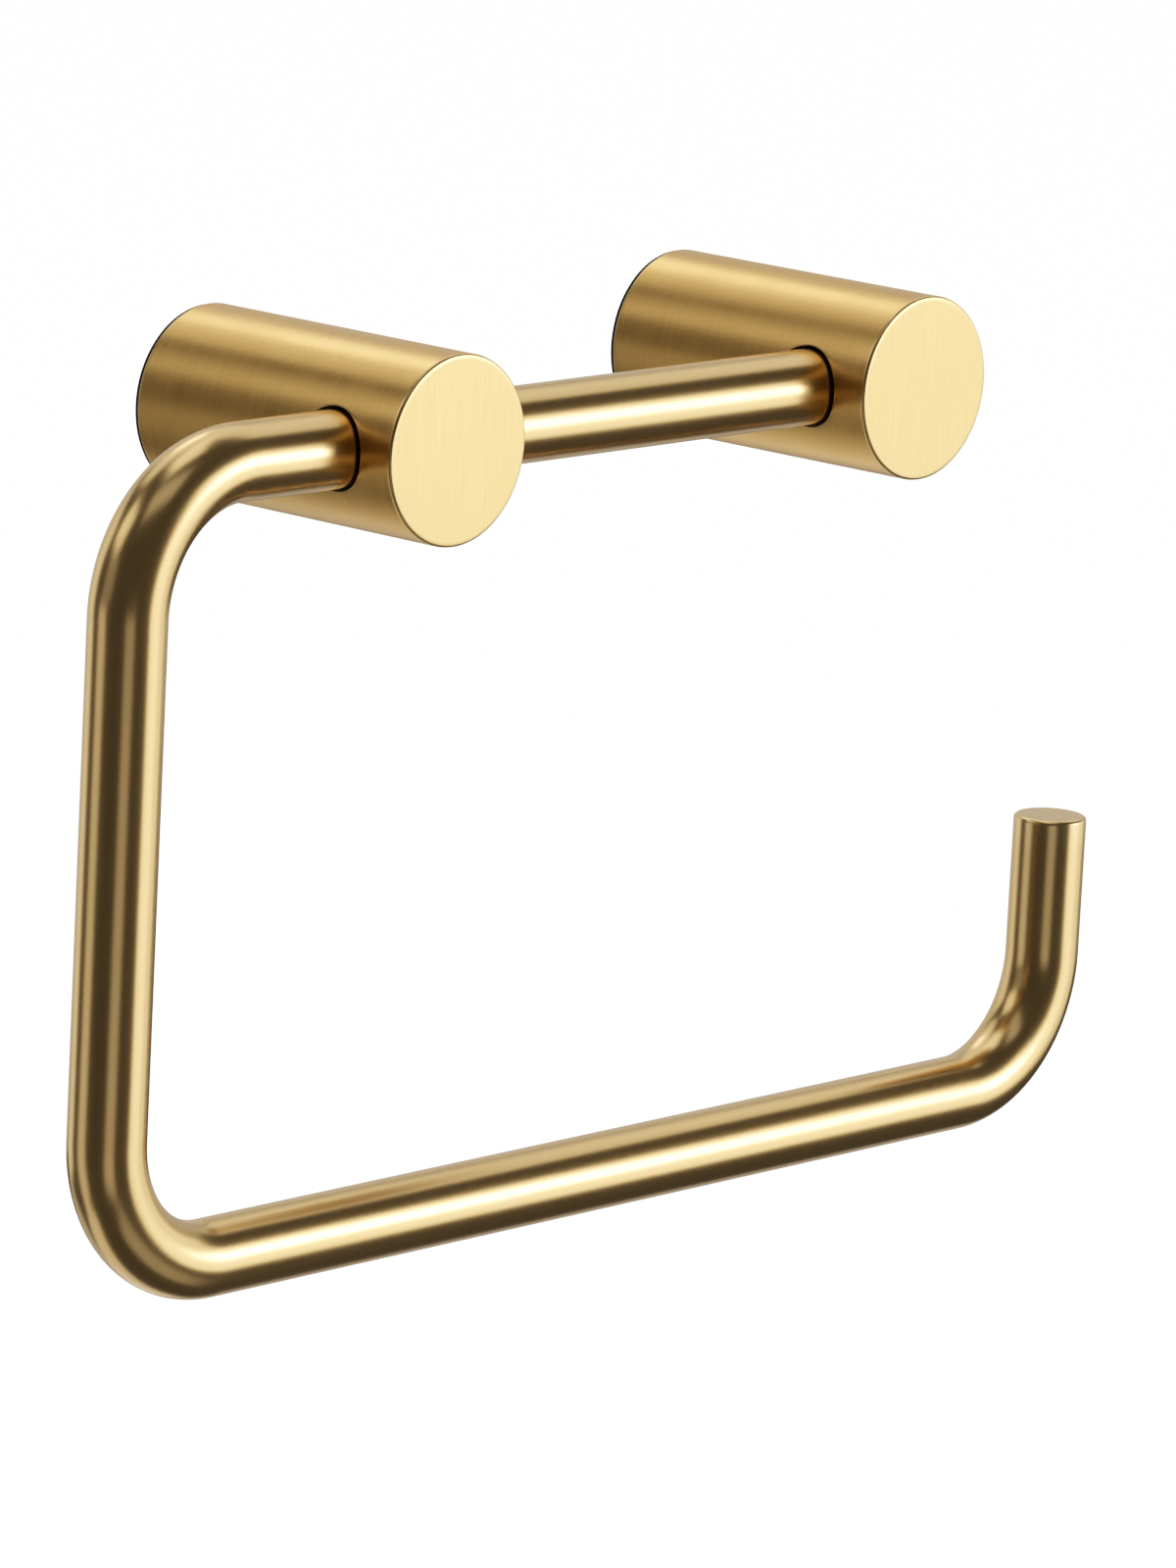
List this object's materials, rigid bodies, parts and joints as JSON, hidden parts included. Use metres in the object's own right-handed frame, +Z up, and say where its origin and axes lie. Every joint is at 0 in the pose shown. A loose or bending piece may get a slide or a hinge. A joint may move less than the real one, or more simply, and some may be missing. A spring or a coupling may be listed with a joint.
{
  "type": "toilet paper holder",
  "caption": "Brushed brass wall holder for a toilet roll: round posts on the wall carry a bent bar that swings like a trapeze and ends in an upturned tip.",
  "frame": {"origin": "on the wall plane, midway between the axes of the two posts", "axes": "+X along the wall from the left post to the right post, towards the bar's open tip; +Y into the wall; +Z up; the holder stands out of the wall towards -Y"},
  "size_m": [0.1705, 0.0405, 0.1068],
  "materials": {
    "post_brass": "brushed round the post, satin lacquered",
    "bar_brass": "satin brushed, lacquered",
    "spigot_brass": "as turned, unpolished",
    "screw_steel": "plain stainless, lightly machined",
    "bush_nylon": "black moulded nylon",
    "gasket_rubber": "matt black"
  },
  "bodies": {
    "wall_posts": {"left_post": "post_brass", "right_post": "post_brass", "left_wall_spigot": "spigot_brass", "right_wall_spigot": "spigot_brass", "left_wall_gasket": "gasket_rubber", "right_wall_gasket": "gasket_rubber", "left_lock_screw": "screw_steel", "right_lock_screw": "screw_steel", "bar_retaining_screw": "screw_steel", "left_outer_bush": "bush_nylon", "left_inner_bush": "bush_nylon", "right_bush": "bush_nylon"},
    "hanger": {"hanger_bar": "bar_brass"}
  },
  "joints": [
    {"name": "hanger_swing", "type": "hinge", "parent": "wall_posts", "child": "hanger", "pos_m": [0, -0.031, -0.0003], "axis": [-1, 0, 0], "range_deg": [-16, 196]}
  ]
}
